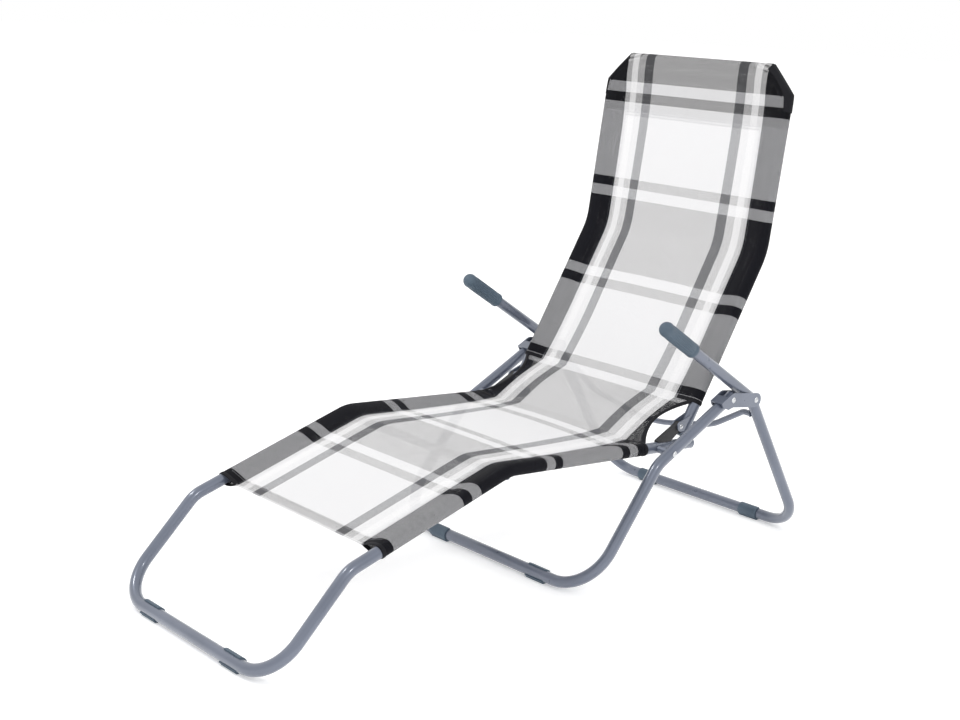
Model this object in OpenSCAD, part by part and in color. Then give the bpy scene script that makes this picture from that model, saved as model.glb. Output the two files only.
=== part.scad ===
// Tilting, folding sun lounger: four bent steel tube frames, a stretched sling and plastic trim.
// Row frame: X across the width, Y along the length with the foot end at -Y, Z up from the floor.
// Side profiles are given as [y, z] pairs on the tube centre lines.

/* [Tubes] */
// Outside diameter of every frame tube
tube_d = 22; // [20:0.5:24]
// Wall thickness of the frame tubes
tube_wall = 1.2; // [1:0.1:2]
// Half distance between the centre lines of the seat and back side tubes
rail_half = 228; // [215:1:232]
// Half distance between the centre lines of the legs and arms
leg_half = 268; // [266:1:290]

/* [Seat frame] */
// Foot bar, distance ahead of the middle of the lounger
foot_y = -645; // [-655:1:-635]
// Bend under the ankles, distance ahead of the middle
ankle_y = -497; // [-505:1:-490]
// Bend under the ankles, height
ankle_z = 164; // [155:1:170]
// Knee bend, distance ahead of the middle
knee_y = -156; // [-165:1:-150]
// Knee bend, height
knee_z = 271; // [268:1:274]
// Rear end of the side tubes, distance behind the middle
rail_end_y = 322; // [318:1:326]
// Rear end of the side tubes, height
rail_end_z = 240.2; // [239:0.2:241]
// Where the seat sleeve starts near the ankles
sleeve_start_y = -437; // [-445:1:-430]
// Where the seat sleeve ends ahead of the tilt pivot
sleeve_end_y = 190; // [180:1:195]

/* [Back frame] */
// Bend of the back tubes, distance behind the middle
back_bend_y = 494.6; // [494:0.1:495.2]
// Bend of the back tubes, height
back_bend_z = 596.7; // [596:0.1:597.4]
// Head bar, distance behind the middle
head_y = 539.6; // [535:0.1:545]
// Head bar, height
head_z = 943.5; // [930:0.5:955]
// Height at which the sling leaves the back tubes
back_sleeve_z = 316; // [312:1:330]

/* [Legs and arms] */
// Front floor bar, distance behind the middle
front_y = 18.3; // [10:0.1:25]
// Bend of the front legs, distance behind the middle
front_bend_y = 185; // [184:0.5:186]
// Bend of the front legs, height
front_bend_z = 228.5; // [228:0.5:229]
// Rear floor bar, distance behind the middle
rear_y = 645; // [635:1:655]
// Bend between rear leg and arm, distance behind the middle
arm_bend_y = 449; // [448:0.5:450]
// Bend between rear leg and arm, height
arm_bend_z = 319.6; // [319:0.2:320]
// Front end of the arm tube, distance behind the middle
arm_end_y = 183.6; // [175:0.1:195]
// Front end of the arm tube, height
arm_end_z = 485.8; // [480:0.1:490]
// Diameter of the bowed stop rod
rod_d = 12; // [10:0.5:13]

/* [Hardware] */
// Diameter of the tilt and leg rivets
rivet_d = 8; // [6:0.5:9]
// Diameter of the hip pins
pin_d = 6; // [5:0.5:6.5]
// Length of a floor clip along its bar
clip_len = 46; // [35:1:50]
// Thickness of a floor clip
clip_wall = 2.5; // [2:0.5:3]
// Outside diameter of a hand grip
grip_d = 29; // [27:0.5:30]

/* [Hidden] */
$fn = 48;

steel = "lightslategray";
plastic = "slategray";
zinc = "gainsboro";
black = "black";
cloth = "whitesmoke";

tube_r = tube_d / 2;
bore_r = tube_r - tube_wall;
rivet_r = rivet_d / 2;
pin_r = pin_d / 2;
grip_r = grip_d / 2;
running = 0.05;     // radial play of a pin in a hole that turns on it
gap = 0.4;          // clear gap between pieces that move past each other
lap = 0.3;          // straight stretches reach this far into the bends of a tube
skim = 0.15;        // and are this much thinner on each face, so that they seat inside the bend
clip_r = tube_r + clip_wall;
floor_z = clip_r;   // height of the floor bars' centre lines

// Side profiles
foot = [foot_y, floor_z];
ankle = [ankle_y, ankle_z];
knee = [knee_y, knee_z];
rail_end = [rail_end_y, rail_end_z];
back_bend = [back_bend_y, back_bend_z];
head = [head_y, head_z];
front_foot = [front_y, floor_z];
front_bend = [front_bend_y, front_bend_z];
rear_foot = [rear_y, floor_z];
arm_bend = [arm_bend_y, arm_bend_z];
arm_end = [arm_end_y, arm_end_z];

function unit(v) = v / norm(v);
function left_of(u) = [-u.y, u.x];
function turned(u, a) = [u.x * cos(a) - u.y * sin(a), u.x * sin(a) + u.y * cos(a)];
function on_line(p, q, y) = [y, p.y + (q.y - p.y) * (y - p.x) / (q.x - p.x)];
function at_height(p, q, z) = [p.x + (q.x - p.x) * (z - p.y) / (q.y - p.y), z];
function side(x, p) = [x, p.x, p.y];

knee_bend = 80;     // radii of the bends under the knees, behind the shoulders and at the head bar's ends
spine_bend = 120;
head_bend = 85;
thigh_dir = unit(rail_end - knee);
leg_dir = [0.888, 0.4598] / norm([0.888, 0.4598]);
arm_dir = unit(arm_end - arm_bend);
back_dir = [0.5092, 0.8606] / norm([0.5092, 0.8606]);

// Pivots
tilt_pivot = on_line(knee, rail_end, 220);
hip_pivot = [284, 280];
leg_pivot = front_bend + leg_dir * 217;
leg_top = leg_pivot + leg_dir * 10;

// The back tube stands on the rail behind the hip pivot, on a thin plug
plug_flange = 2;
back_base = [294.4, 258.4];
back_start = back_base + back_dir * plug_flange;

// The middle of the arc at the top of the rear leg, where the bracket is riveted
arm_bend_r = 60;
rear_dir = unit(rear_foot - arm_bend);
arm_turn = acos(-arm_dir * rear_dir);
bracket_end = arm_bend + unit(arm_dir + rear_dir) * arm_bend_r * (1 / cos(arm_turn / 2) - 1);

// Sling: thickness, clear distance to the tubes, and the line it spans at the hips
sling_t = 1.2;
sling_in = tube_r + gap;
sling_half = rail_half - sling_in;
hip_half = 205;
hip_low = on_line(knee, rail_end, sleeve_end_y - 2);
hip_high = at_height(back_base, back_bend, back_sleeve_z);

module frame_at(o, ex, ey, ez) {
    multmatrix([[ex.x, ey.x, ez.x, o.x], [ex.y, ey.y, ez.y, o.y], [ex.z, ey.z, ez.z, o.z], [0, 0, 0, 1]])
        children();
}

// Children drawn with +Z along u, starting at p
module along(p, u) {
    e = unit(cross(u, abs(u.x) < 0.9 ? [1, 0, 0] : [0, 1, 0]));
    frame_at(p, e, cross(u, e), u) children();
}

// A flat outline in the side view, extruded along +X from x
module side_plate(x, t) {
    frame_at([x, 0, 0], [0, 1, 0], [0, 0, 1], [1, 0, 0]) linear_extrude(t) children();
}

module straight_tube(a, b, ro, ri) {
    length = norm(b - a);
    along(a, unit(b - a)) difference() {
        cylinder(r = ro, h = length);
        if (ri > 0) translate([0, 0, -1]) cylinder(r = ri, h = length + 2);
    }
}

function turn_angle(pts, i) = acos(unit(pts[i] - pts[i - 1]) * unit(pts[i + 1] - pts[i]));
function tangent_len(pts, bends, i) = bends[i] * tan(turn_angle(pts, i) / 2);

module elbow(p, u, w, bend, ro, ri) {
    angle = acos(u * w);
    axis = unit(cross(u, w));
    inward = cross(axis, u);
    start = p - u * bend * tan(angle / 2);
    frame_at(start + inward * bend, -inward, u, axis) rotate_extrude(angle = angle) translate([bend, 0])
        difference() {
            circle(ro);
            if (ri > 0) circle(ri);
        }
}

// A tube bent at each inner point of pts to the radius in bends
module bent_tube(pts, bends, ro, ri) {
    last = len(pts) - 1;
    for (i = [0 : last - 1]) {
        u = unit(pts[i + 1] - pts[i]);
        straight_tube(pts[i] + u * (i == 0 ? 0 : tangent_len(pts, bends, i) - lap),
            pts[i + 1] - u * (i == last - 1 ? 0 : tangent_len(pts, bends, i + 1) - lap),
            ro - skim, ri > 0 ? ri + skim : 0);
    }
    for (i = [1 : last - 1])
        elbow(pts[i], unit(pts[i] - pts[i - 1]), unit(pts[i + 1] - pts[i]), bends[i], ro, ri);
}

// Both sides of a U-shaped frame from its side profile, and the bend radius at each point
function u_path(half, profile) = concat(
    [for (p = profile) side(half, p)],
    [for (i = [len(profile) - 1 : -1 : 0]) side(-half, profile[i])]);
function u_bends(bends) = concat(bends, [for (i = [len(bends) - 1 : -1 : 0]) bends[i]]);

module cross_bore(x, p, r, length) {
    translate([x - length / 2, p.x, p.y]) rotate([0, 90, 0]) cylinder(r = r, h = length);
}

// Domed head of radius r and height h, flat side on the XY plane
module dome(r, h) {
    ball = (r * r + h * h) / (2 * h);
    rotate_extrude() intersection() {
        translate([0, h - ball]) circle(ball, $fn = 96);
        square([r, h]);
    }
}

// A rivet along X from x1 to x2 with a domed head outside each end
module rivet(x1, x2, p, r, head_r, head_h) {
    translate([x1, p.x, p.y]) rotate([0, 90, 0]) cylinder(r = r, h = x2 - x1);
    translate([x2, p.x, p.y]) rotate([0, 90, 0]) dome(head_r, head_h);
    translate([x1, p.x, p.y]) rotate([0, -90, 0]) dome(head_r, head_h);
}

// Points of a strip at offset o to the left of a bent profile
function arc_points(p, u, w, bend, o, steps) =
    let (angle = acos(u * w), s = sign(u.x * w.y - u.y * w.x),
        start = p - u * bend * tan(angle / 2), centre = start + left_of(u) * s * bend)
    [for (k = [0 : steps]) centre - left_of(turned(u, s * angle * k / steps)) * s * (bend - s * o)];
function strip_edge(pts, bend, o) =
    let (u = unit(pts[1] - pts[0]), w = unit(pts[2] - pts[1]))
    concat([pts[0] + left_of(u) * o], arc_points(pts[1], u, w, bend, o, 6), [pts[2] + left_of(w) * o]);
function reversed(v) = [for (i = [len(v) - 1 : -1 : 0]) v[i]];

module strip(pts, bend, half) {
    side_plate(-half, 2 * half) polygon(concat(strip_edge(pts, bend, -sling_t / 2),
        reversed(strip_edge(pts, bend, sling_t / 2))));
}

module flat_strip(a, b, half) {
    n = left_of(unit(b - a)) * sling_t / 2;
    side_plate(-half, 2 * half) polygon([a - n, b - n, b + n, a + n]);
}

// C-shaped sleeve with a flat sole, pressed on a floor bar; open_at is the middle of its opening
module floor_clip(x, p, open_at) {
    half_open = 60.5;
    sole_half = 6.5;
    reach = 4 * clip_r;     // the cutting wedge reaches well past the sleeve
    side_plate(x - clip_len / 2, clip_len) translate(p) difference() {
        union() {
            circle(clip_r);
            translate([-sole_half, -clip_r]) square([2 * sole_half, clip_r]);
        }
        circle(tube_r);
        polygon([[0, 0], for (a = [-half_open, 0, half_open]) reach * [cos(open_at + a), sin(open_at + a)]]);
    }
}

// ---- Front legs

module front_leg_frame() color(steel) difference() {
    bent_tube(u_path(leg_half, [leg_top, front_bend, front_foot]), u_bends([0, 60, 90]), tube_r, bore_r);
    for (s = [-1, 1]) {
        cross_bore(s * leg_half, tilt_pivot, rivet_r, 2 * tube_d);
        cross_bore(s * leg_half, leg_pivot, rivet_r + running, 2 * tube_d);
    }
}

front_clip_x = 137;
module front_clip(s) color(plastic) floor_clip(s * front_clip_x, front_foot, s > 0 ? 155.5 : 24.5);

module tilt_rivet() color(zinc)
    rivet(rail_half - tube_r - gap, leg_half + tube_r, tilt_pivot, rivet_r, 5.5, 3);

module tilt_spacer() color(steel) difference() {
    translate([rail_half + tube_r + gap, tilt_pivot.x, tilt_pivot.y]) rotate([0, 90, 0])
        cylinder(r = 7.5, h = leg_half - rail_half - tube_r);
    straight_tube(side(leg_half, front_bend), side(leg_half, leg_top), tube_r, 0);
    cross_bore(rail_half + tube_r, tilt_pivot, rivet_r, 4 * tube_d);
}

// ---- Seat frame

screw_r = 2.5;
screw_y = 238;

module seat_frame() color(steel) difference() {
    bent_tube(u_path(rail_half, [rail_end, knee, ankle, foot]), u_bends([0, knee_bend, 60, 75]),
        tube_r, bore_r);
    for (s = [-1, 1]) {
        cross_bore(s * rail_half, tilt_pivot, rivet_r + running, 2 * tube_d);
        translate([s * rail_half, screw_y, rail_end_z - tube_d]) cylinder(r = screw_r, h = 2 * tube_d);
    }
}

knee_bar_at = [-152, 259];
knee_bar_r = 8;
module knee_bar() color(steel) difference() {
    shin_dir = unit(knee - ankle);
    straight_tube(side(-rail_half, knee_bar_at), side(rail_half, knee_bar_at), knee_bar_r, knee_bar_r - 1);
    for (s = [-1, 1]) {
        straight_tube(side(s * rail_half, knee - shin_dir * 60), side(s * rail_half, knee), tube_r, 0);
        elbow(side(s * rail_half, knee), side(0, shin_dir), side(0, thigh_dir), knee_bend, tube_r, 0);
    }
}

foot_clip_x = 124;
module foot_clip(s) color(plastic) floor_clip(s * foot_clip_x, foot, 155.5);

module rail_plug() color(plastic) {
    along(side(rail_half, rail_end - thigh_dir * 18), side(0, thigh_dir)) cylinder(r = bore_r, h = 20);
    along(side(rail_half, rail_end), side(0, thigh_dir)) dome(tube_r, 5);
}

lug_t = 10;
lug_eye_r = 8.5;
lug_foot = [[262, 256], [262, 244], [224, 246], [224, 260]];
module hip_lug() color(black) difference() {
    half_eye = unit([-0.5, 0.86]) * (lug_eye_r - 0.5);
    union() {
        side_plate(rail_half - lug_t / 2, lug_t)
            polygon(concat(lug_foot, [hip_pivot + half_eye, hip_pivot - half_eye]));
        cross_bore(rail_half, hip_pivot, lug_eye_r, lug_t);
    }
    straight_tube(side(rail_half, knee), side(rail_half, rail_end), tube_r, 0);
    cross_bore(rail_half, hip_pivot, pin_r + running, 2 * lug_t);
    translate([rail_half, screw_y, rail_end_z]) cylinder(r = screw_r, h = 22);
}

module lug_screw() color(zinc) {
    under = on_line(knee, rail_end, screw_y).y - tube_r - 0.1;
    translate([rail_half, screw_y, under]) cylinder(r = screw_r, h = rail_end_z + 22 - under);
    translate([rail_half, screw_y, under]) mirror([0, 0, 1]) dome(4.5, 2.4);
}

module sling_seat() color(cloth) {
    start = on_line(ankle, knee, sleeve_start_y);
    end = on_line(knee, rail_end, sleeve_end_y);
    strip([start, knee, end], knee_bend, sling_half);
    flat_strip(hip_low, hip_low + (hip_high - hip_low) * 0.42, hip_half);
}

// The part of the sling that flexes when the back folds
module sling_hip() color(cloth)
    flat_strip(hip_low + (hip_high - hip_low) * 0.43, hip_low + (hip_high - hip_low) * 0.97, hip_half);

// ---- Back frame

module back_frame() color(steel)
    bent_tube(u_path(rail_half, [back_start, back_bend, head]), u_bends([0, spine_bend, head_bend]),
        tube_r, bore_r);

ear_t = 3;
ear_eye_r = 10;
module back_ears() color(steel) difference() {
    low = back_base + back_dir * 12;
    high = back_base + back_dir * 52;
    for (x = [rail_half - lug_t / 2 - gap - ear_t, rail_half + lug_t / 2 + gap])
        side_plate(x, ear_t) {
            translate(hip_pivot) circle(ear_eye_r);
            polygon([hip_pivot - left_of(unit(hip_pivot - low)) * -ear_eye_r, low, high,
                hip_pivot - left_of(unit(hip_pivot - high)) * ear_eye_r]);
        }
    straight_tube(side(rail_half, back_base), side(rail_half, back_bend), tube_r, 0);
    cross_bore(rail_half, hip_pivot, pin_r, tube_d * 2);
}

module hip_pin() color(zinc) {
    half = lug_t / 2 + gap + ear_t;
    rivet(rail_half - half, rail_half + half, hip_pivot, pin_r, 5, 2.4);
}

module back_plug() color(plastic) {
    along(side(rail_half, back_base), side(0, back_dir)) cylinder(r = tube_r, h = plug_flange);
    along(side(rail_half, back_start), side(0, back_dir)) cylinder(r = bore_r, h = 14);
}

module sling_back() color(cloth) {
    start = at_height(back_base, back_bend, back_sleeve_z);
    up = unit(head - back_bend);
    end = head - up * (sling_in + sling_t / 2);
    corner = head_bend - tube_r;
    sleeve_half = rail_half - head_bend - 4;
    difference() {
        strip([start, back_bend, end], spine_bend, sling_half);
        for (s = [-1, 1])
            frame_at(side(s * sling_half, end), [s, 0, 0], side(0, left_of(up)), side(0, up))
                rotate([0, 45, 0]) cube([2 * corner, 4 * tube_r, corner * sqrt(2)], center = true);
    }
    // The sleeve round the head bar
    translate([-sleeve_half, head_y, head_z]) rotate([0, 90, 0]) difference() {
        cylinder(r = sling_in + sling_t, h = 2 * sleeve_half);
        translate([0, 0, -1]) cylinder(r = sling_in, h = 2 * sleeve_half + 2);
    }
}

// ---- Rear legs and arms

rod_z = 283;
rod_y = 466;
module rear_leg_frame() color(steel) difference() {
    bent_tube(u_path(leg_half, [arm_end, arm_bend, rear_foot]), u_bends([0, arm_bend_r, 80]), tube_r, bore_r);
    for (s = [-1, 1]) cross_bore(s * leg_half, bracket_end, rivet_r, 2 * tube_d);
}

cheek_t = 3;
cheek_in = tube_r + gap;
bracket_r = 14;
function leg_point(ahead, above) = leg_pivot - leg_dir * ahead + left_of(leg_dir) * above;

module leg_bracket() color(steel) {
    web_from = 10.5;
    web_to = 32;
    rim = cheek_in + cheek_t;
    across = left_of(unit(bracket_end - leg_pivot)) * bracket_r;
    difference() {
        for (x = [leg_half - rim, leg_half + cheek_in])
            side_plate(x, cheek_t) {
                translate(leg_pivot) circle(bracket_r);
                translate(bracket_end) circle(bracket_r);
                polygon([leg_pivot - across, bracket_end - across, bracket_end + across, leg_pivot + across]);
                polygon([leg_point(0, -bracket_r), leg_point(20, -9), leg_point(web_to, 4),
                    leg_point(web_to, rim), leg_point(0, rim)]);
            }
        cross_bore(leg_half, leg_pivot, rivet_r, 3 * tube_d);
        cross_bore(leg_half, bracket_end, rivet_r, 3 * tube_d);
    }
    side_plate(leg_half - rim, 2 * rim) polygon([leg_point(web_to, cheek_in), leg_point(web_from, cheek_in),
        leg_point(web_from, rim), leg_point(web_to, rim)]);
}

module bracket_pin(p) color(zinc) {
    half = cheek_in + cheek_t;
    rivet(leg_half - half, leg_half + half, p, rivet_r, 5.5, 2.6);
}

module grip() color(plastic) {
    length = 92;
    along(side(leg_half, arm_end - arm_dir * length), side(0, arm_dir)) rotate_extrude() difference() {
        union() {
            square([grip_r, length]);
            translate([0, length]) intersection() {
                circle(grip_r, $fn = 96);
                square(grip_r);
            }
        }
        square([tube_r, length]);
    }
}

rear_clip_x = 144;
module rear_clip(s) color(plastic) floor_clip(s * rear_clip_x, rear_foot, 24.5);

// Bowed rod between the rear legs; the reclined back tubes come to rest on it
module stop_rod() color(steel) difference() {
    bow = [[leg_half, rod_z], [240, rod_z], [165, 238]];
    path = concat([for (p = bow) [-p.x, rod_y, p.y]], [[0, rod_y, 204]],
        [for (i = [2 : -1 : 0]) [bow[i].x, rod_y, bow[i].y]]);
    bent_tube(path, [0, 18, 120, 300, 120, 18, 0], rod_d / 2, 0);
    for (s = [-1, 1])
        straight_tube(side(s * leg_half, arm_bend), side(s * leg_half, rear_foot), tube_r, 0);
}

// Right-hand pieces sit at +X; the left-hand ones are their mirror images
module left() mirror([1, 0, 0]) children();

front_leg_frame();
front_clip(-1);  // front_clip_left
front_clip(1);  // front_clip_right
left() tilt_rivet();  // tilt_rivet_left
tilt_rivet();  // tilt_rivet_right
left() tilt_spacer();  // tilt_spacer_left
tilt_spacer();  // tilt_spacer_right
seat_frame();
knee_bar();
foot_clip(-1);  // foot_clip_left
foot_clip(1);  // foot_clip_right
left() rail_plug();  // rail_plug_left
rail_plug();  // rail_plug_right
left() hip_lug();  // hip_lug_left
hip_lug();  // hip_lug_right
left() lug_screw();  // lug_screw_left
lug_screw();  // lug_screw_right
sling_seat();
sling_hip();
back_frame();
left() back_ears();  // back_ears_left
back_ears();  // back_ears_right
left() hip_pin();  // hip_pin_left
hip_pin();  // hip_pin_right
left() back_plug();  // back_plug_left
back_plug();  // back_plug_right
sling_back();
rear_leg_frame();
left() leg_bracket();  // leg_bracket_left
leg_bracket();  // leg_bracket_right
left() bracket_pin(leg_pivot);  // leg_pivot_left
bracket_pin(leg_pivot);  // leg_pivot_right
left() bracket_pin(bracket_end);  // bracket_rivet_left
bracket_pin(bracket_end);  // bracket_rivet_right
left() grip();  // grip_left
grip();  // grip_right
rear_clip(-1);  // rear_clip_left
rear_clip(1);  // rear_clip_right
stop_rod();
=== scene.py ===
import math

import bmesh
import bpy
import numpy as np
from mathutils import Matrix, Vector, noise


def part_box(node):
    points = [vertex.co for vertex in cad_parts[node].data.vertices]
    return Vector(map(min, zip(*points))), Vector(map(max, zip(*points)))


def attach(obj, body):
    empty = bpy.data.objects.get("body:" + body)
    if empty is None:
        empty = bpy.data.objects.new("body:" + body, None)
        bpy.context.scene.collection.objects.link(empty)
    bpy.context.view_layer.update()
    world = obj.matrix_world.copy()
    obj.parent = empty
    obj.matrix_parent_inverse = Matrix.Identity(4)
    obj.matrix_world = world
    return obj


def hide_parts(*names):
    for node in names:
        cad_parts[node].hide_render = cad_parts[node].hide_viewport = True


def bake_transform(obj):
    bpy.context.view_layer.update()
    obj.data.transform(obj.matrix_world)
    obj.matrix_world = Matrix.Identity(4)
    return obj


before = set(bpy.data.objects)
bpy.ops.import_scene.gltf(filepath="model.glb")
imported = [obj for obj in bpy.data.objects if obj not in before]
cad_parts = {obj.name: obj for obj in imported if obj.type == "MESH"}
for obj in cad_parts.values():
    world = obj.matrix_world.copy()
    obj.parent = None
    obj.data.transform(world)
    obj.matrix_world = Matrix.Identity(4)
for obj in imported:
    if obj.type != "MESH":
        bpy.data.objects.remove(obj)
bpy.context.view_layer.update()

MM = 0.001
SIDES = (("left", -1), ("right", 1))


def mm(*values):
    """Millimetres as metres."""
    return [v * MM for v in values]


# ---- Driving dimensions, in metres. Profiles are (y, z) points on the tubes' centre lines.

seat_low, seat_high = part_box("seat_frame")
leg_low, leg_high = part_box("front_leg_frame")
rear_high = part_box("rear_leg_frame")[1]

TUBE_R = 11 * MM
BORE_R = 9.8 * MM
RAIL_X = seat_high.x - TUBE_R
LEG_X = leg_high.x - TUBE_R
FLOOR_Z = seat_low.z + TUBE_R

FOOT = np.array([seat_low.y + TUBE_R, FLOOR_Z])
ANKLE = np.array(mm(-497, 164))
KNEE = np.array(mm(-156, 271))
RAIL_END = np.array(mm(322, 240.2))
BACK_BASE = np.array(mm(294.4, 258.4))
SPINE = np.array(mm(494.6, 596.7))
HEAD = np.array(mm(539.6, 943.5))
FRONT_FOOT = np.array([leg_low.y + TUBE_R, FLOOR_Z])
FRONT_BEND = np.array(mm(185, 228.5))
REAR_FOOT = np.array([rear_high.y - TUBE_R, FLOOR_Z])
ARM_BEND = np.array(mm(449, 319.6))
ARM_END = np.array(mm(183.6, 485.8))
LEG_PIVOT = np.array(mm(377.7, 328.3))
KNEE_BAR = np.array(mm(-152, 259))
KNEE_BAR_R = 8 * MM
ROD_Y, ROD_Z, ROD_R = mm(466, 283, 6)

KNEE_BEND, ANKLE_BEND, FOOT_BEND = mm(80, 60, 75)
SPINE_BEND, HEAD_BEND = mm(120, 85)
LEG_BEND, ARM_BEND_R, FRONT_CORNER, REAR_CORNER = mm(60, 60, 90, 80)

SLING_FOOT_Y = -437 * MM    # where the sling's foot hem is, and where its sleeves end by the hip
SEAT_SLEEVE_Y = 190 * MM
BACK_SLEEVE_Z = 316 * MM


def unit(v):
    v = np.asarray(v, float)
    return v / np.linalg.norm(v)


def left_of(u):
    return np.array([-u[1], u[0]])


def on_line(p, q, y):
    return p + (q - p) * (y - p[0]) / (q[0] - p[0])


def at_height(p, q, z):
    return p + (q - p) * (z - p[1]) / (q[1] - p[1])


def smooth(t):
    t = np.clip(t, 0, 1)
    return t * t * (3 - 2 * t)


def link(obj):
    bpy.context.scene.collection.objects.link(obj)
    return obj


def mesh_object(name, points, faces, material, uv=None, flat=False):
    """A mesh object; uv is a list of (u, v) per point."""
    data = bpy.data.meshes.new(name)
    data.from_pydata([tuple(p) for p in points], [], [tuple(f) for f in faces])
    data.validate()
    if uv is not None:
        layer = data.uv_layers.new(name="cloth")
        index = np.zeros(len(data.loops), np.int32)
        data.loops.foreach_get("vertex_index", index)
        layer.data.foreach_set("uv", np.asarray(uv, np.float32)[index].ravel())
    data.polygons.foreach_set("use_smooth", [not flat] * len(data.polygons))
    data.materials.append(material)
    return link(bpy.data.objects.new(name, data))


def grid_faces(rows, columns, first=0, closed=False):
    """Quads of a grid of points stored row by row."""
    last = columns if closed else columns - 1
    return [
        (first + i * columns + j, first + i * columns + (j + 1) % columns,
         first + (i + 1) * columns + (j + 1) % columns, first + (i + 1) * columns + j)
        for i in range(rows - 1) for j in range(last)
    ]


# ---- Paths and sweeps

def fillet(points, bends, step=math.radians(4)):
    """A dense path through points, with an arc of the given radius at each inner one."""
    points = [np.asarray(p, float) for p in points]
    path = [points[0]]
    for i in range(1, len(points) - 1):
        u, w = unit(points[i] - points[i - 1]), unit(points[i + 1] - points[i])
        angle = math.acos(np.clip(u @ w, -1, 1))
        inward = unit(w - u * (u @ w))
        start = points[i] - u * bends[i] * math.tan(angle / 2)
        centre = start + inward * bends[i]
        steps = max(2, round(angle / step))
        for k in range(steps + 1):
            a = angle * k / steps
            path.append(centre - inward * bends[i] * math.cos(a) + u * bends[i] * math.sin(a))
    path.append(points[-1])
    return np.array(path)


def frames_along(path, up=(0, 0, 1)):
    """Tangent, side and normal at each point of a path, turning as little as possible."""
    tangents = np.gradient(path, axis=0)
    tangents /= np.linalg.norm(tangents, axis=1)[:, None]
    side = np.cross(tangents[0], up)
    if np.linalg.norm(side) < 1e-3:
        side = np.cross(tangents[0], (1, 0, 0))
    sides = []
    for t in tangents:
        side = unit(side - t * (side @ t))
        sides.append(side)
    sides = np.array(sides)
    return tangents, sides, np.cross(sides, tangents)


def sweep(name, path, radius, material, bore=0.0, around=40):
    """A round tube or rod along a path, closed at both ends; bore is the inner radius."""
    _, side, normal = frames_along(path)
    angles = np.linspace(0, 2 * math.pi, around, endpoint=False)

    def skin(r):
        ring = np.cos(angles)[:, None, None] * side + np.sin(angles)[:, None, None] * normal
        return (path + r * ring).transpose(1, 0, 2).reshape(-1, 3)

    rows, points = len(path), skin(radius)
    faces = [f[::-1] for f in grid_faces(rows, around, closed=True)]
    last = (rows - 1) * around
    if bore:
        first = len(points)
        points = np.vstack([points, skin(bore)])
        faces += grid_faces(rows, around, first, closed=True)
        for j in range(around):
            k = (j + 1) % around
            faces.append((j, first + j, first + k, k))
            faces.append((last + k, first + last + k, first + last + j, last + j))
    else:
        faces.append(tuple(range(around)))
        faces.append(tuple(last + j for j in reversed(range(around))))
    obj = mesh_object(name, points, faces, material)
    mark_sharp(obj)
    return obj


def mark_sharp(obj, angle=math.radians(40)):
    work = bmesh.new()
    work.from_mesh(obj.data)
    bmesh.ops.recalc_face_normals(work, faces=work.faces)
    for edge in work.edges:
        edge.smooth = not (len(edge.link_faces) == 2 and edge.calc_face_angle() > angle)
    work.to_mesh(obj.data)
    work.free()


def at_side(x, p):
    return np.array([x, p[0], p[1]])


def u_path(x, profile, bends):
    """Both sides of a U-shaped frame from its side profile."""
    points = [at_side(x, p) for p in profile] + [at_side(-x, p) for p in reversed(profile)]
    return fillet(points, bends + bends[::-1])


# ---- Materials

class Nodes:
    """A short way to write a material's node tree."""

    def __init__(self, name):
        self.material = bpy.data.materials.new(name)
        self.material.use_nodes = True
        self.tree = self.material.node_tree
        self.shader = self.tree.nodes["Principled BSDF"]

    def add(self, kind, inputs=(), **settings):
        node = self.tree.nodes.new(kind)
        for key, value in settings.items():
            setattr(node, key, value)
        for key, value in dict(inputs).items():
            self.put(node.inputs[key], value)
        return node

    def put(self, socket, value):
        if isinstance(value, bpy.types.NodeSocket):
            self.tree.links.new(value, socket)
        else:
            socket.default_value = value

    def math(self, operation, a, b=0.0, c=0.0):
        return self.add("ShaderNodeMath", {0: a, 1: b, 2: c}, operation=operation).outputs[0]

    def mix(self, share, a, b):
        node = self.add("ShaderNodeMix", {0: share}, data_type="RGBA")
        self.put(node.inputs[6], a)
        self.put(node.inputs[7], b)
        return node.outputs[2]

    def noise(self, scale, detail=3.0, vector=None, roughness=0.5):
        inputs = {"Scale": scale, "Detail": detail, "Roughness": roughness}
        inputs["Vector"] = vector or self.position()
        return self.add("ShaderNodeTexNoise", inputs).outputs["Fac"]

    def position(self):
        return self.add("ShaderNodeTexCoord").outputs["Object"]

    def ramp(self, value, stops, interpolation="LINEAR"):
        """stops are (place, grey) pairs."""
        node = self.add("ShaderNodeValToRGB", {0: value})
        ramp = node.color_ramp
        ramp.interpolation = interpolation
        while len(ramp.elements) < len(stops):
            ramp.elements.new(1.0)
        for element, (place, grey) in zip(ramp.elements, stops):
            element.position = place
            element.color = (grey, grey, grey, 1) if np.isscalar(grey) else (*grey, 1)
        return node.outputs["Color"]

    def bump(self, height, strength, distance):
        node = self.add("ShaderNodeBump", {"Height": height, "Strength": strength, "Distance": distance})
        self.put(self.shader.inputs["Normal"], node.outputs[0])

    def set(self, **values):
        for key, value in values.items():
            self.put(self.shader.inputs[key.replace("_", " ")], value)
        return self.material


def grey(value):
    return (value, value, value, 1)


def coated_steel(name, colour, dark):
    """Powder coat: faint orange peel, slow changes of tone, and a few duller rubbed patches."""
    n = Nodes(name)
    tone = n.ramp(n.noise(9, 4), [(0.35, 0.0), (0.7, 1.0)])
    n.bump(n.noise(900, 2), 0.12, 0.0004)
    rough = n.ramp(n.noise(35, 5), [(0.3, 0.27), (0.75, 0.40)])
    return n.set(Base_Color=n.mix(tone, (*dark, 1), (*colour, 1)), Roughness=rough, Metallic=0.3,
                 Coat_Weight=1.0, Coat_Roughness=0.1)


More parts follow.
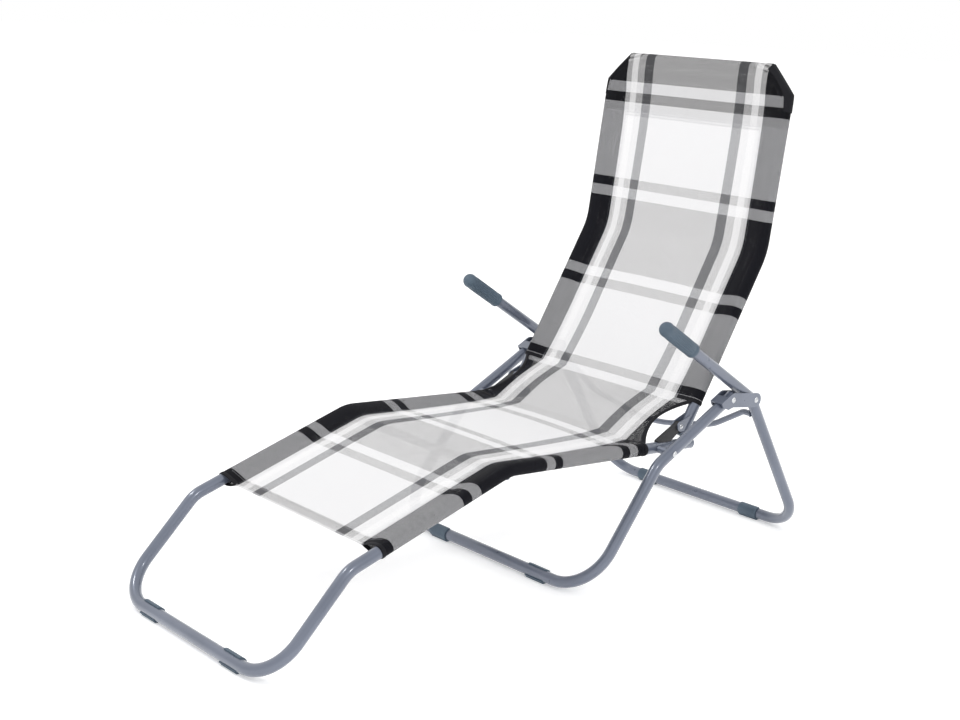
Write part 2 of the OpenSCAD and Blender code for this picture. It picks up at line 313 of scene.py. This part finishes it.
def moulded_plastic(name, colour, dark, rough=(0.42, 0.58), grain=1400):
    n = Nodes(name)
    tone = n.ramp(n.noise(22, 4), [(0.35, 0.0), (0.7, 1.0)])
    n.bump(n.noise(grain, 3), 0.25, 0.0003)
    return n.set(Base_Color=n.mix(tone, (*dark, 1), (*colour, 1)),
                 Roughness=n.ramp(n.noise(60, 3), [(0.3, rough[0]), (0.7, rough[1])]))


def zinc_plate():
    n = Nodes("zinc_plate")
    tone = n.ramp(n.noise(260, 5), [(0.35, 0.0), (0.7, 1.0)])
    n.bump(n.noise(1200, 3), 0.15, 0.0003)
    return n.set(Base_Color=n.mix(tone, (0.50, 0.51, 0.53, 1), (0.74, 0.75, 0.76, 1)), Metallic=1.0,
                 Roughness=n.ramp(n.noise(300, 4), [(0.3, 0.22), (0.7, 0.42)]))


# The plaid: half widths across the cloth from its middle line, and one repeat along it
BAND_FROM, BAND_TO, DENSE_FROM, DENSE_TO, EDGE_FROM = mm(109.5, 133.5, 152, 168, 180.5)
REPEAT = 396 * MM
REPEAT_START = 22 * MM
WHITE_FIELD, NARROW, GAP_BAND, BLACK_FIELD = mm(156, 20, 21, 158)
PITCH = 1.3 * MM            # of the threads
BARE_OF_WARP = 0.233        # sines below which no lengthwise, or crosswise, thread covers
BARE_OF_WEFT = 0.56
SLUB_SCALE = (260.0, 420.0, 1.0)    # of the uneven yarn's patches, each a few threads wide
POCKET_FROM = 1345 * MM     # from here on the cloth lies in two layers; painted shade darkens its colour there
POCKET_PAINTED_SHADE = 0.55


def woven_plaid():
    """Plain weave: lengthwise and crosswise threads pass over each other, each with its own stripes."""
    n = Nodes("woven_plaid")
    uv = n.add("ShaderNodeUVMap", uv_map="cloth").outputs[0]
    split = n.add("ShaderNodeSeparateXYZ", {0: uv})
    across, lengthwise = split.outputs[0], split.outputs[1]
    white, mid, black = (0.873, 0.866, 0.870), (0.20, 0.20, 0.21), (0.004, 0.004, 0.007)
    cream = (0.66, 0.66, 0.675)

    reach = 0.3
    out = n.math("DIVIDE", n.math("ABSOLUTE", across), reach)
    warp = n.ramp(out, [(0, white), (BAND_FROM / reach, mid), (BAND_TO / reach, white),
                        (EDGE_FROM / reach, black)], "CONSTANT")
    dense = n.ramp(out, [(0, 0), (DENSE_FROM / reach, 0.6), (DENSE_TO / reach, 0)], "CONSTANT")

    since_hem = n.math("SUBTRACT", lengthwise, REPEAT_START - REPEAT)
    place = n.math("FRACT", n.math("DIVIDE", since_hem, REPEAT))
    stops, at = [], 0.0
    for width, colour in ((WHITE_FIELD, cream), (NARROW, black), (GAP_BAND, cream), (BLACK_FIELD, black),
                          (GAP_BAND, cream), (NARROW, black)):
        stops.append((at / REPEAT, colour))
        at += width
    weft = n.mix(dense, n.ramp(place, stops, "CONSTANT"), (*white, 1))

    sine_a = n.math("SINE", n.math("MULTIPLY", across, math.pi / PITCH))
    sine_b = n.math("SINE", n.math("MULTIPLY", lengthwise, math.pi / PITCH))
    wave_a, wave_b = n.math("ABSOLUTE", sine_a), n.math("ABSOLUTE", sine_b)
    has_warp = n.math("GREATER_THAN", wave_a, BARE_OF_WARP)
    has_weft = n.math("GREATER_THAN", wave_b, BARE_OF_WEFT)
    over = n.math("GREATER_THAN", n.math("MULTIPLY", sine_a, sine_b), 0.0)
    weft_on_top = n.math("MULTIPLY", has_weft, n.math("SUBTRACT", 1.0, over))
    shows_warp = n.math("MULTIPLY", has_warp, n.math("SUBTRACT", 1.0, weft_on_top))
    relief = n.math("ADD", n.math("MULTIPLY", shows_warp, wave_a), n.math("MULTIPLY", wave_b, 0.5))
    n.bump(relief, 0.5, 0.0003)
    stretched = n.add("ShaderNodeVectorMath", {0: uv, 1: SLUB_SCALE}, operation="MULTIPLY").outputs[0]
    soil = n.ramp(n.noise(1.0, 3, stretched), [(0.3, 0.90), (0.68, 1.0)])
    # Painted shade: over the two-layer head pocket the colour is darkened, most where the crosswise
    # threads are light, standing in for the shade of the layer behind
    pocket_painted_shade = n.ramp(n.math("DIVIDE", lengthwise, 2.0),
                     [(0, 1.0), (POCKET_FROM / 2, 1.0), (POCKET_FROM / 2 + 0.002, POCKET_PAINTED_SHADE)])
    # tone holds the uneven yarn's patches and the painted shade of the pocket
    tone = n.add("ShaderNodeMix", {0: 1.0}, data_type="RGBA", blend_type="MULTIPLY")
    n.put(tone.inputs[6], soil)
    n.put(tone.inputs[7], n.mix(weft, pocket_painted_shade, grey(1.0)))
    colour = n.mix(shows_warp, weft, warp)
    toned = n.add("ShaderNodeMix", {0: 1.0}, data_type="RGBA", blend_type="MULTIPLY")
    n.put(toned.inputs[6], colour)
    n.put(toned.inputs[7], tone.outputs[2])
    return n.set(Base_Color=toned.outputs[2], Alpha=n.math("MAXIMUM", has_warp, has_weft), Roughness=0.7,
                 Specular_IOR_Level=0.12, Sheen_Weight=0.01)


def tape(name, colour):
    """Ribbed binding tape and thread."""
    n = Nodes(name)
    ribs = n.add("ShaderNodeTexWave", {"Vector": n.position(), "Scale": 420.0, "Distortion": 1.5,
                                       "Detail": 2.0}, bands_direction="DIAGONAL").outputs["Fac"]
    tone = n.ramp(n.noise(500, 4), [(0.3, 0.0), (0.75, 1.0)])
    lighter = tuple(c * 1.7 + 0.004 for c in colour)
    n.bump(ribs, 0.4, 0.0003)
    return n.set(Base_Color=n.mix(tone, (*colour, 1), (*lighter, 1)), Roughness=0.75,
                 Specular_IOR_Level=0.15, Sheen_Weight=0.03)


steel = coated_steel("coated_steel", (0.138, 0.158, 0.210), (0.108, 0.126, 0.172))
slate = moulded_plastic("slate_plastic", (0.078, 0.116, 0.156), (0.056, 0.086, 0.120))
nylon = moulded_plastic("black_nylon", (0.020, 0.020, 0.023), (0.010, 0.010, 0.012))
zinc = zinc_plate()
plaid = woven_plaid()
black_tape = tape("black_tape", (0.006, 0.006, 0.008))
pale_thread = tape("pale_thread", (0.34, 0.34, 0.36))


# ---- Tubes and rods

def frame_tube(node, body, path, radius=TUBE_R, bore=BORE_R):
    obj = sweep(node + "_smooth", path, radius, steel, bore)
    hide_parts(node)
    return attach(obj, body)


back_dir = unit(SPINE - BACK_BASE)
leg_dir = unit(LEG_PIVOT - FRONT_BEND)
arm_dir = unit(ARM_END - ARM_BEND)
rear_dir = unit(REAR_FOOT - ARM_BEND)
PLUG_FLANGE = 2 * MM
LEG_TOP = LEG_PIVOT + leg_dir * 10 * MM
BACK_START = BACK_BASE + back_dir * PLUG_FLANGE

frame_tube("seat_frame", "seat", u_path(RAIL_X, [RAIL_END, KNEE, ANKLE, FOOT],
                                        [0, KNEE_BEND, ANKLE_BEND, FOOT_BEND]))
frame_tube("back_frame", "back", u_path(RAIL_X, [BACK_START, SPINE, HEAD], [0, SPINE_BEND, HEAD_BEND]))
frame_tube("front_leg_frame", "front_legs", u_path(LEG_X, [LEG_TOP, FRONT_BEND, FRONT_FOOT],
                                                   [0, LEG_BEND, FRONT_CORNER]))
frame_tube("rear_leg_frame", "rear_legs", u_path(LEG_X, [ARM_END, ARM_BEND, REAR_FOOT],
                                                 [0, ARM_BEND_R, REAR_CORNER]))

bar_half = RAIL_X - math.sqrt(TUBE_R ** 2 - KNEE_BAR_R ** 2)
frame_tube("knee_bar", "seat", np.linspace(at_side(-bar_half, KNEE_BAR), at_side(bar_half, KNEE_BAR), 9),
           KNEE_BAR_R, KNEE_BAR_R - 1 * MM)

rod_half = LEG_X - math.sqrt(TUBE_R ** 2 - ROD_R ** 2)
rod_right = [(rod_half, ROD_Z), mm(240, 283), mm(165, 238)]
rod_points = [(-x, ROD_Y, z) for x, z in rod_right] + [(0, ROD_Y, 204 * MM)]
rod_points += [(x, ROD_Y, z) for x, z in reversed(rod_right)]
frame_tube("stop_rod", "rear_legs", fillet(rod_points, mm(0, 18, 120, 300, 120, 18, 0)), ROD_R, 0)


def weld(name, body, x, p, axis, radius, side):
    """The bead where a bar of the given radius, lying along X at p, meets a side tube along axis."""
    across = left_of(axis)
    path = []
    for a in np.linspace(0, 2 * math.pi, 49):
        off = radius * (math.cos(a) * axis + math.sin(a) * across)
        depth = math.sqrt(TUBE_R ** 2 - (radius * math.sin(a)) ** 2)
        path.append(at_side(side * (x - depth), p + off))
    path = np.array(path)
    bead = sweep(name, path, 1.5 * MM, steel, around=10)
    for v in bead.data.vertices:
        v.co += (v.co - Vector(at_side(side * x, p))).normalized() * noise.noise(v.co * 380) * 0.6 * MM
    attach(bead, body)


for word, s in SIDES:
    weld("knee_bar_weld_" + word, "seat", RAIL_X, KNEE_BAR, unit(KNEE - ANKLE), KNEE_BAR_R, s)
    weld("stop_rod_weld_" + word, "rear_legs", LEG_X, np.array([ROD_Y, ROD_Z]), rear_dir, ROD_R, s)


# ---- Hand grips: moulded sleeves with lengthwise ribs, a collar and a domed end

GRIP_R = 14.5 * MM
GRIP_LEN = 92 * MM
RIBS = 20
RIB_DEPTH = 0.9 * MM
COLLAR = 9 * MM


def grip_mesh(name, x):
    """The ribbed grip round an arm tube at x."""
    start = at_side(x, ARM_END - arm_dir * GRIP_LEN)
    axis = at_side(0, arm_dir)
    side, normal = np.array([1.0, 0, 0]), np.cross(axis, [1.0, 0, 0])
    rings = [(0, TUBE_R, 0), (0, GRIP_R - 1 * MM, 0), (0.6 * MM, GRIP_R, 0), (COLLAR - 1 * MM, GRIP_R, 0),
             (COLLAR, GRIP_R - 0.8 * MM, 0)]
    ribs_start, ribs_end = COLLAR + 1 * MM, GRIP_LEN - 4 * MM
    for t in np.linspace(0, 1, 14):
        fade = smooth(t * 8) * smooth((1 - t) * 8)
        radius = GRIP_R - RIB_DEPTH * 0.5 * (1 - fade)
        rings.append((ribs_start + (ribs_end - ribs_start) * t, radius, fade))
    for a in np.linspace(0, math.pi / 2, 12)[:-1]:
        rings.append((GRIP_LEN + GRIP_R * math.sin(a), GRIP_R * math.cos(a), 0))
    around = RIBS * 8
    angles = np.linspace(0, 2 * math.pi, around, endpoint=False)
    wave = np.clip(0.5 - 0.9 * np.cos(RIBS * angles), 0, 1)
    points = []
    for along, r, ribbed in rings:
        radius = r - ribbed * RIB_DEPTH * (1 - wave)
        ring = np.outer(radius * np.cos(angles), side) + np.outer(radius * np.sin(angles), normal)
        points.extend(start + axis * along + ring)
    tip = len(points)
    points.append(start + axis * (GRIP_LEN + GRIP_R))
    rows = len(rings)
    faces = grid_faces(rows, around, closed=True)
    last = (rows - 1) * around
    faces += [(last + j, last + (j + 1) % around, tip) for j in range(around)]
    obj = mesh_object(name, points, faces, slate)
    mark_sharp(obj, math.radians(50))
    return obj


for word, s in SIDES:
    grip = grip_mesh("ribbed_grip_" + word, s * LEG_X)
    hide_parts("grip_" + word)
    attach(grip, "rear_legs")


# ---- Sling: one sheet from the foot hem to the pocket over the head bar.
# It is laid out on x across, l along the tubes' centre lines and n above them.

CLOTH_R = 11.8 * MM         # of the cloth round a tube
SLEEVE = 41 * MM            # from a side tube's middle inboard to the seam
SEAM_X = RAIL_X - SLEEVE
HEM = 12 * MM
LAYER = 0.9 * MM            # between two layers of the cloth
CELL = 6 * MM
POCKET = 119 * MM           # depth of the head pocket below the head bar's middle
HIP_HALF = 198 * MM         # half width of the cloth at the middle of the hip
FOOT_HEM = 20 * MM

seat_start = on_line(ANKLE, KNEE, SLING_FOOT_Y)
seat_end = on_line(KNEE, RAIL_END, SEAT_SLEEVE_Y)
back_start = at_height(BACK_BASE, SPINE, BACK_SLEEVE_Z)
seat_line = fillet([seat_start, KNEE, seat_end], [0, KNEE_BEND, 0], math.radians(2))
back_line = fillet([back_start, SPINE, HEAD], [0, SPINE_BEND, 0], math.radians(2))
head_dir = unit(HEAD - SPINE)
centre = np.vstack([seat_line, back_line, HEAD + head_dir * 60 * MM])
arc = np.concatenate([[0], np.cumsum(np.linalg.norm(np.diff(centre, axis=0), axis=1))])
L_SEAT = arc[len(seat_line) - 1]
L_BACK = arc[len(seat_line)]
L_HEAD = arc[-2]
L_SPINE = L_HEAD - np.linalg.norm(HEAD - SPINE)
L_CORNER = L_HEAD - HEAD_BEND
L_POCKET = L_HEAD - POCKET
THREAD_KNOTS = mm(0, 645, 786, 1112, 1456)
PLACE_KNOTS = [0, L_SEAT, L_BACK, L_SPINE, L_HEAD]



def slope_of(p, q):
    return math.atan2(q[1] - p[1], q[0] - p[0])


# Slope of the side profile along l. It turns evenly between the two sleeves.
shin_slope, thigh_slope = slope_of(ANKLE, KNEE), slope_of(KNEE, seat_end)
back_slope, head_slope = slope_of(back_start, SPINE), slope_of(SPINE, HEAD)
knee_turn = abs(shin_slope - thigh_slope)
spine_turn = abs(head_slope - back_slope)
l_knee = np.linalg.norm(KNEE - seat_start) - KNEE_BEND * math.tan(knee_turn / 2)
l_spine = L_BACK + np.linalg.norm(SPINE - back_start) - SPINE_BEND * math.tan(spine_turn / 2)
SLOPE_KNOTS = [0, l_knee, l_knee + KNEE_BEND * knee_turn, L_SEAT, L_BACK, l_spine,
               l_spine + SPINE_BEND * spine_turn, L_HEAD]
SLOPES = [shin_slope, shin_slope, thigh_slope, thigh_slope, back_slope, back_slope, head_slope, head_slope]


def profile_angle(l):
    return np.interp(l, SLOPE_KNOTS, SLOPES)


def place(x, l, n):
    """Row-frame points of the layout's x, l and n."""
    x, l, n = np.broadcast_arrays(*(np.asarray(a, float) for a in (x, l, n)))
    y, z = (np.interp(l, arc, centre[:, k]) for k in (0, 1))
    angle = profile_angle(l)
    return np.stack([x, y - np.sin(angle) * n, z + np.cos(angle) * n], axis=-1)


def thread_at(l):
    """Where along the woven pattern l lies."""
    return np.interp(l, PLACE_KNOTS, THREAD_KNOTS) + np.maximum(l - L_HEAD, 0)


def stations(*pairs):
    """Smoothed lift of the sheet over the tubes' plane, from (thread, lift) pairs in millimetres."""
    dense = np.arange(0, 1.5, 4 * MM)
    raw = np.interp(dense, [a * MM for a, _ in pairs], [b * MM for _, b in pairs])
    kernel = np.hanning(25)
    padded = np.pad(raw, 12, mode="edge")
    return dense, np.convolve(padded, kernel / kernel.sum(), "valid")


MIDDLE = stations((0, 0), (250, 0), (300, -1), (450, 3), (600, 9), (650, 16), (715, 19), (780, 16),
                  (840, 9), (900, 5), (1112, 9), (1250, 5), (1337, 4), (1400, 8), (1444, 11.8))
SEAM = stations((0, 0), (450, 0), (600, 3), (645, 8), (715, 12), (786, 8), (830, 3), (900, 0), (1250, 0),
                (1337, 2), (1400, 7), (1444, 11.8))


def to_tube(x, l):
    """Distance from the nearest tube's centre line, in the plane of the frame."""
    x = np.abs(x)
    side = RAIL_X - x
    corner = HEAD_BEND - np.hypot(np.maximum(x - (RAIL_X - HEAD_BEND), 0), np.maximum(l - L_CORNER, 0))
    return np.where(l > L_CORNER, corner, side)


def sheet_lift(x, l):
    """Height of the sling's face over the tubes' plane."""
    thread = thread_at(l)
    middle, seam = np.interp(thread, *MIDDLE), np.interp(thread, *SEAM)
    base = seam + (middle - seam) * (1 - np.clip(np.abs(x) / SEAM_X, 0, 1) ** 2)
    rise = np.sin(math.pi / 2 * np.clip(1 - to_tube(x, l) / SLEEVE, 0, 1))
    return base + (CLOTH_R - base) * rise


def half_width(l):
    """Where the face ends: on the tube, at the curved cut-out by the hip, or round the head corner."""
    middle = (L_SEAT + L_BACK) / 2
    hip = HIP_HALF + (RAIL_X - HIP_HALF) * ((l - middle) / (middle - L_SEAT)) ** 2
    up = np.clip((l - L_CORNER) / HEAD_BEND, 0, 1)
    corner = RAIL_X - HEAD_BEND + HEAD_BEND * np.sqrt(1 - up ** 2)
    return np.where((l > L_SEAT) & (l < L_BACK), hip, np.where(l > L_CORNER, corner, RAIL_X))


def rows_between(a, b, step=CELL):
    return np.linspace(a, b, max(2, round((b - a) / step) + 1))


corner_turn = np.linspace(0, math.pi / 2, 17)
corner_rows = L_CORNER + HEAD_BEND * np.sin(corner_turn)
seat_rows = rows_between(0, L_SEAT)
hip_rows = rows_between(L_SEAT, L_BACK)
back_rows = rows_between(L_BACK, L_POCKET)
pocket_rows = rows_between(L_POCKET, L_CORNER)
face_rows = np.concatenate([seat_rows, hip_rows[1:], back_rows[1:], pocket_rows[1:], corner_rows[1:]])
columns = np.linspace(-1, 1, 83)

patches = []


def patch(x, l, n, u, v):
    """Adds a grid of cloth; u and v are the thread coordinates."""
    x, l, n, u, v = np.broadcast_arrays(x, l, n, u, v)
    patches.append((place(x, l, n), np.stack([u, v], axis=-1)))


def face_patch(rows, drop=0.0, threads=None):
    l = rows[:, None]
    x = columns[None, :] * half_width(l)
    patch(x, l, sheet_lift(x, l) - drop, x, thread_at(l) if threads is None else threads[:, None])


face_patch(face_rows)
face_patch(rows_between(0, FOOT_HEM), LAYER)

# Round the outside of the side tubes, and back under them to the seam and its hem
wrap = np.linspace(0, math.pi, 13)
tuck = np.linspace(1, 0, 8)[1:]
for rows, tucked in ((seat_rows, True), (back_rows, True), (pocket_rows, False)):
    l = rows[:, None]
    seam = sheet_lift(SEAM_X, l) - LAYER
    for s in (-1, 1):
        ring_x = RAIL_X + CLOTH_R * np.sin(wrap)[None, :]
        ring_u = s * (RAIL_X + CLOTH_R * wrap)[None, :]
        patch(s * ring_x, l, CLOTH_R * np.cos(wrap)[None, :], ring_u, thread_at(l))
        if tucked:
            under_x = SEAM_X + np.concatenate([[SLEEVE], SLEEVE * tuck, [-HEM]])[None, :]
            t = np.clip((under_x - SEAM_X) / SLEEVE, 0, 1)
            under = seam + (-CLOTH_R - seam) * np.sin(t * math.pi / 2)
            under = np.where(under_x < SEAM_X, sheet_lift(under_x, l) - LAYER, under)
            wide = RAIL_X + CLOTH_R * math.pi + RAIL_X - under_x
            patch(s * under_x, l, under, s * wide, thread_at(l))

# Over the head bar and its corners
bar_x = columns * (RAIL_X - HEAD_BEND)
over = wrap[None, :]
patch(bar_x[:, None], L_HEAD + CLOTH_R * np.sin(over), CLOTH_R * np.cos(over), bar_x[:, None],
      thread_at(L_HEAD) + CLOTH_R * over)


def stand_off(turn):
    """How far the corner's straight cuts stand off the round of the tube."""
    from_flat = np.abs((turn + math.pi / 8) % (math.pi / 4) - math.pi / 8)
    return (HEAD_BEND + CLOTH_R) * (1 / np.cos(from_flat) - 1)


for s in (-1, 1):
    turn = corner_turn[:, None]
    reach = HEAD_BEND + (CLOTH_R + stand_off(turn)) * np.sin(over)
    threads_in = (HEAD_BEND + CLOTH_R * over) * np.cos(turn)
    patch(s * (RAIL_X - HEAD_BEND + reach * np.cos(turn)), L_CORNER + reach * np.sin(turn),
          CLOTH_R * np.cos(over), s * (RAIL_X - HEAD_BEND + threads_in),
          thread_at(L_CORNER) + HEAD_BEND * turn)

# The back of the head pocket, sewn to the face along its lower edge
POCKET_THREAD = 1540 * MM
back_layer = np.concatenate([pocket_rows, corner_rows[1:]])[:, None]
x = columns[None, :] * half_width(back_layer)
face = sheet_lift(x, back_layer) - LAYER
near_side = np.sin(math.pi / 2 * np.clip(1 - to_tube(x, back_layer) / SLEEVE, 0, 1))
up_the_back = np.clip((back_layer - L_POCKET) / POCKET, 0, 1)
share = 1 - (1 - near_side) * (1 - up_the_back)
patch(x, back_layer, face + (-CLOTH_R - face) * share, x, POCKET_THREAD - (back_layer - L_POCKET))

points, faces, threads = [], [], []
for grid, uv in patches:
    rows, count = grid.shape[:2]
    faces += grid_faces(rows, count, len(points))
    points.extend(grid.reshape(-1, 3))
    threads.extend(uv.reshape(-1, 2))
sling = mesh_object("sling", points, faces, plaid, threads)
work = bmesh.new()
work.from_mesh(sling.data)
bmesh.ops.remove_doubles(work, verts=work.verts, dist=0.02 * MM)
bmesh.ops.recalc_face_normals(work, faces=work.faces)
work.to_mesh(sling.data)
work.free()

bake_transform(sling)
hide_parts("sling_seat", "sling_hip", "sling_back")


# ---- Binding tapes and stitches

def ribbon(name, path, across, above, width, thick, material):
    """A flat tape with rounded edges along a path; across and above give its directions at each point."""
    profile = [(math.cos(a), math.sin(a)) for a in np.linspace(0, 2 * math.pi, 10, endpoint=False)]
    points = []
    for p, a, b in zip(path, across, above):
        for c, d in profile:
            points.append(p + a * width / 2 * np.sign(c) * abs(c) ** 0.6 + b * thick / 2 * d)
    count = len(profile)
    last = (len(path) - 1) * count
    faces = grid_faces(len(path), count, closed=True)
    faces.append(tuple(range(count)))
    faces.append(tuple(last + j for j in range(count)))
    obj = mesh_object(name, points, faces, material)
    mark_sharp(obj, math.radians(70))
    return obj


def directions(path, above):
    tangents = np.gradient(path, axis=0)
    tangents /= np.linalg.norm(tangents, axis=1)[:, None]
    across = np.cross(tangents, above)
    across /= np.linalg.norm(across, axis=1)[:, None]
    return across, np.cross(across, tangents)


def face_normals(l):
    angle = profile_angle(l)
    return np.stack([np.zeros_like(l), -np.sin(angle), np.cos(angle)], axis=-1)


def stitches(name, path, above, body, pitch=3.2 * MM, length=2.3 * MM, radius=0.28 * MM):
    """A row of separate stitches lying on the cloth along a path."""
    steps = np.concatenate([[0], np.cumsum(np.linalg.norm(np.diff(path, axis=0), axis=1))])
    across, above = directions(path, above)
    points, faces = [], []
    for at in np.arange(pitch / 2, steps[-1] - pitch / 2, pitch):
        ends = [at - length / 2, at, at + length / 2]
        for k, end in enumerate(ends):
            p, a, b = (np.array([np.interp(end, steps, v[:, i]) for i in range(3)])
                       for v in (path, across, above))
            size = radius * (1.0 if k == 1 else 0.45)
            for c in range(6):
                turn = c * math.pi / 3
                raised = size * math.sin(turn) + (k == 1) * radius * 0.6
                points.append(p + a * size * math.cos(turn) + b * raised)
        first = len(points) - 18
        faces += grid_faces(3, 6, first, closed=True)
        faces += [tuple(first + j for j in range(6)), tuple(first + 12 + j for j in range(6))]
    obj = mesh_object(name, points, faces, pale_thread)
    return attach(obj, body)


TAPE = 9 * MM
TAPE_THICK = 1.9 * MM
for word, s in SIDES:
    l = rows_between(L_SEAT - 4 * MM, L_BACK + 4 * MM, 3 * MM)
    inside = np.clip(l, L_SEAT, L_BACK)
    x = half_width(inside) - 2.5 * MM
    path = place(s * x, l, sheet_lift(x, l))
    across, above = directions(path, face_normals(l))
    hip_tape = ribbon("hip_binding_" + word, path, across, above, TAPE, TAPE_THICK, black_tape)
    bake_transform(hip_tape)

    # Bound ends of the sleeves
    for part, at, body in (("foot", 3 * MM, "seat"), ("hip_front", L_SEAT - 4 * MM, "seat"),
                           ("hip_rear", L_BACK + 4 * MM, "back")):
        seam = float(sheet_lift(SEAM_X, at)) - LAYER
        inner = np.linspace(0, 1, 9)
        top_x = SEAM_X + SLEEVE * inner[:-1]
        top = np.stack([top_x, sheet_lift(top_x, at)], axis=-1)
        round_tube = np.stack([RAIL_X + CLOTH_R * np.sin(wrap), CLOTH_R * np.cos(wrap)], axis=-1)
        low_x = (SEAM_X + SLEEVE * inner[:-1])[::-1]
        low_n = seam + (-CLOTH_R - seam) * np.sin((low_x - SEAM_X) / SLEEVE * math.pi / 2)
        low = np.stack([low_x, low_n], axis=-1)
        loop = np.vstack([top, round_tube, low])
        path = place(s * loop[:, 0], at, loop[:, 1])
        slope = float(profile_angle(at))
        lengthwise = np.tile([0, math.cos(slope), math.sin(slope)], (len(path), 1))
        tangents = np.gradient(path, axis=0)
        tangents /= np.linalg.norm(tangents, axis=1)[:, None]
        band = ribbon(f"{part}_binding_{word}", path, lengthwise, np.cross(tangents, lengthwise), 8 * MM,
                      1.7 * MM, black_tape)
        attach(band, body)

    # Solid black tape over the cut corners at the head
    turn = np.linspace(math.radians(4), math.radians(66), 24)
    points = []
    shell = np.linspace(math.radians(20), math.radians(160), 12)
    skin_r = CLOTH_R + 1.0 * MM
    for t in turn:
        for a in shell:
            reach = HEAD_BEND + (skin_r + stand_off(t)) * math.sin(a)
            corner_x = RAIL_X - HEAD_BEND + reach * math.cos(t)
            points.append(place(s * corner_x, L_CORNER + reach * math.sin(t), skin_r * math.cos(a)))
    tape_obj = mesh_object("corner_binding_" + word, points, grid_faces(len(turn), len(shell)), black_tape)
    solid = tape_obj.modifiers.new("thickness", "SOLIDIFY")
    solid.thickness = 0.8 * MM
    solid.offset = 1.0
    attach(tape_obj, "back")

    # Stitch rows beside the sleeves
    for part, low_l, high_l, body in (("seat", 8 * MM, L_SEAT - 2 * MM, "seat"),
                                      ("back", L_BACK + 2 * MM, L_POCKET, "back")):
        l = rows_between(low_l, high_l, 8 * MM)
        for row, x in enumerate((SEAM_X - 1 * MM, SEAM_X - 6 * MM)):
            path = place(s * x, l, sheet_lift(x, l) + 0.2 * MM)
            stitches(f"{part}_stitches_{word}_{row}", path, face_normals(l), body)

for part, at, half, body in (("foot", FOOT_HEM - 2 * MM, RAIL_X - 8 * MM, "seat"),
                             ("pocket", L_POCKET + 2 * MM, RAIL_X - 8 * MM, "back"),
                             ("pocket_edge", L_POCKET + 8 * MM, RAIL_X - 8 * MM, "back")):
    x = rows_between(-half, half, 8 * MM)
    path = place(x, at, sheet_lift(x, np.full_like(x, at)) + 0.2 * MM)
    stitches(part + "_stitches", path, face_normals(np.full_like(x, at)), body)


# ---- Materials of the CAD pieces that show as they are

FINISHES = (
    (slate, ("foot_clip", "front_clip", "rear_clip", "rail_plug", "back_plug")),
    (nylon, ("hip_lug",)),
    (zinc, ("tilt_rivet", "lug_screw", "hip_pin", "leg_pivot", "bracket_rivet")),
    (steel, ("tilt_spacer", "back_ears", "leg_bracket")),
)
for material, stems in FINISHES:
    for stem in stems:
        for word, _ in SIDES:
            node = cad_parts[f"{stem}_{word}"]
            node.data.materials.clear()
            node.data.materials.append(material)


# ---- Studio

FLOOR_HALF = 30.0
floor_corners = [(x * FLOOR_HALF, y * FLOOR_HALF, 0) for x, y in ((-1, -1), (1, -1), (1, 1), (-1, 1))]
studio_white = Nodes("studio_white").set(Base_Color=grey(0.9), Roughness=0.9, Specular_IOR_Level=0.0,
                                         Emission_Color=grey(1.0), Emission_Strength=0.32)
floor = mesh_object("studio_floor", floor_corners, [(0, 1, 2, 3)], studio_white)

world = bpy.data.worlds.new("studio_world")
world.use_nodes = True
background = world.node_tree.nodes["Background"]
background.inputs["Color"].default_value = grey(1.0)
background.inputs["Strength"].default_value = 1.0
bpy.context.scene.world = world

LIGHTS_AIM = Vector((0, 0, 0.4))


def area_light(name, at, power, size):
    data = bpy.data.lights.new(name, "AREA")
    data.energy = power
    data.size = size
    lamp = link(bpy.data.objects.new(name, data))
    lamp.location = at
    lamp.rotation_euler = (LIGHTS_AIM - Vector(at)).to_track_quat("-Z", "Y").to_euler()


area_light("key_light", (-1.6, -1.6, 3.2), 24, 0.6)
area_light("fill_light", (3.0, -0.6, 2.6), 18, 0.5)
area_light("rim_light", (0.6, 3.4, 2.4), 10, 1.0)

TARGET = Vector(mm(-327.2, 275.5, 293.8))
AZIMUTH, ELEVATION, ROLL = (math.radians(a) for a in (47.4, 13.5, 2.6))
DISTANCE = 3289.6 * MM
LENS = 57.2
SENSOR = 36
back_way = Vector((math.sin(AZIMUTH) * math.cos(ELEVATION), -math.cos(AZIMUTH) * math.cos(ELEVATION),
                   math.sin(ELEVATION)))
right = (-back_way).cross(Vector((0, 0, 1))).normalized()
up = right.cross(-back_way)
right_rolled = right * math.cos(ROLL) + up * math.sin(ROLL)
up_rolled = up * math.cos(ROLL) - right * math.sin(ROLL)
camera_data = bpy.data.cameras.new("camera")
camera_data.lens = LENS
camera_data.sensor_width = SENSOR
camera = link(bpy.data.objects.new("camera", camera_data))
camera.matrix_world = Matrix.Translation(TARGET + back_way * DISTANCE) @ Matrix(
    (right_rolled, up_rolled, back_way)).transposed().to_4x4()
bpy.context.scene.camera = camera
bpy.context.scene.view_settings.view_transform = "Standard"
